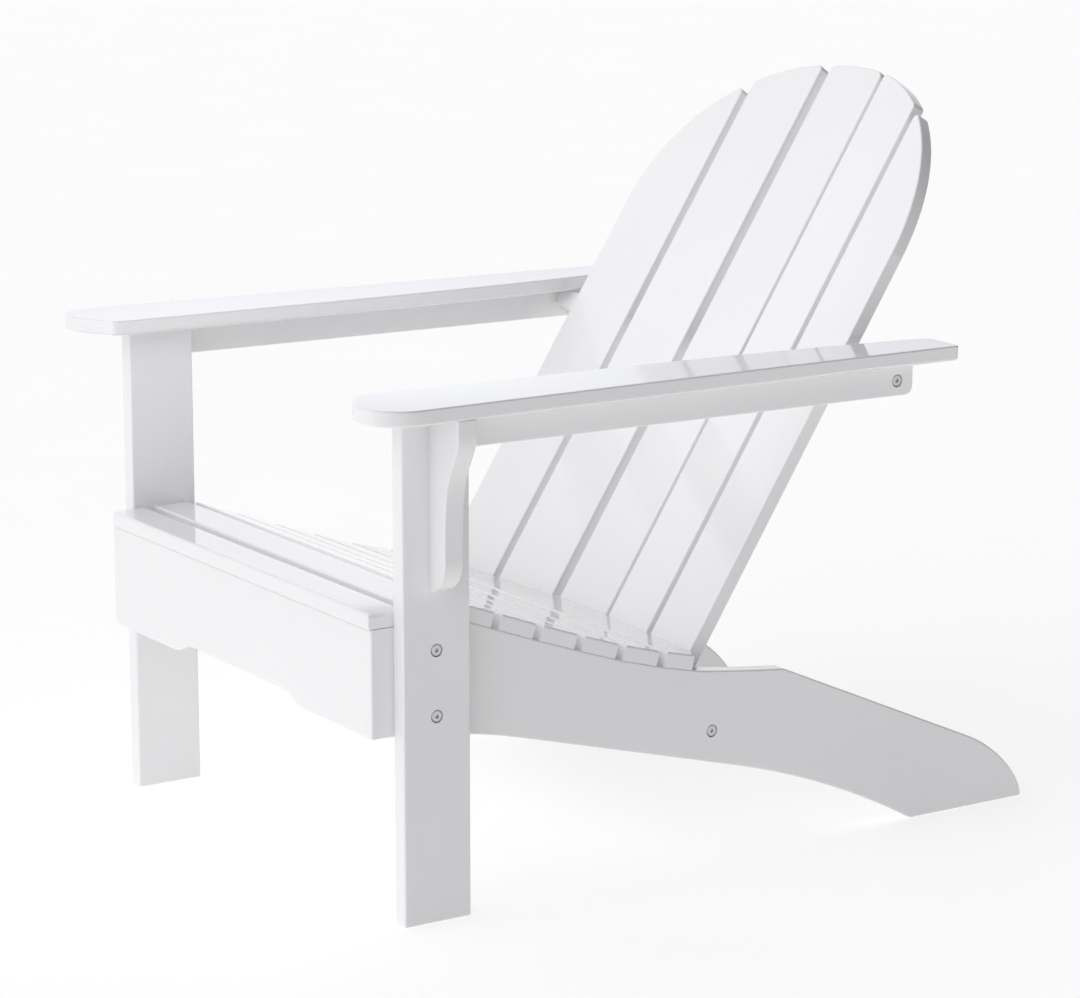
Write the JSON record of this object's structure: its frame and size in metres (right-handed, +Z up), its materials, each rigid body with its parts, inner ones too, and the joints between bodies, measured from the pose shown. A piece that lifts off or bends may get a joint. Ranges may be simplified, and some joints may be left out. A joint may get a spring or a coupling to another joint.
{
  "type": "adirondack chair",
  "caption": "White painted slatted garden armchair with a low sloping seat, a fanned reclining back, wide flat arms on bracketed legs, and seat rails that reach the floor as rear feet.",
  "frame": {"origin": "On the floor, in the middle of the chair's width and of its depth.", "axes": "+X to the sitter's left, +Y to the rear, +Z up. The chair faces -Y."},
  "size_m": [0.8008, 0.9678, 0.884],
  "materials": {
    "white_paint": "smooth white gloss lacquer over wood",
    "steel": "plain zinc-plated steel"
  },
  "bodies": {
    "root": {"front_apron": "white_paint", "left_front_leg": "white_paint", "right_front_leg": "white_paint", "left_seat_rail": "white_paint", "right_seat_rail": "white_paint", "seat_slat_1": "white_paint", "seat_slat_2": "white_paint", "seat_slat_3": "white_paint", "seat_slat_4": "white_paint", "seat_slat_5": "white_paint", "seat_slat_6": "white_paint", "seat_slat_7": "white_paint", "seat_slat_8": "white_paint", "back_board_1": "white_paint", "back_board_2": "white_paint", "back_board_3": "white_paint", "back_board_4": "white_paint", "back_board_5": "white_paint", "upper_back_rail": "white_paint", "lower_back_rail": "white_paint", "left_arm": "white_paint", "right_arm": "white_paint", "left_arm_rail": "white_paint", "right_arm_rail": "white_paint", "left_arm_bracket": "white_paint", "right_arm_bracket": "white_paint", "leg_bolts": "steel", "seat_rail_bolts": "steel", "arm_rail_bolts": "steel", "leg_bolt_nuts": "steel", "barrel_nuts": "steel"}
  },
  "joints": []
}
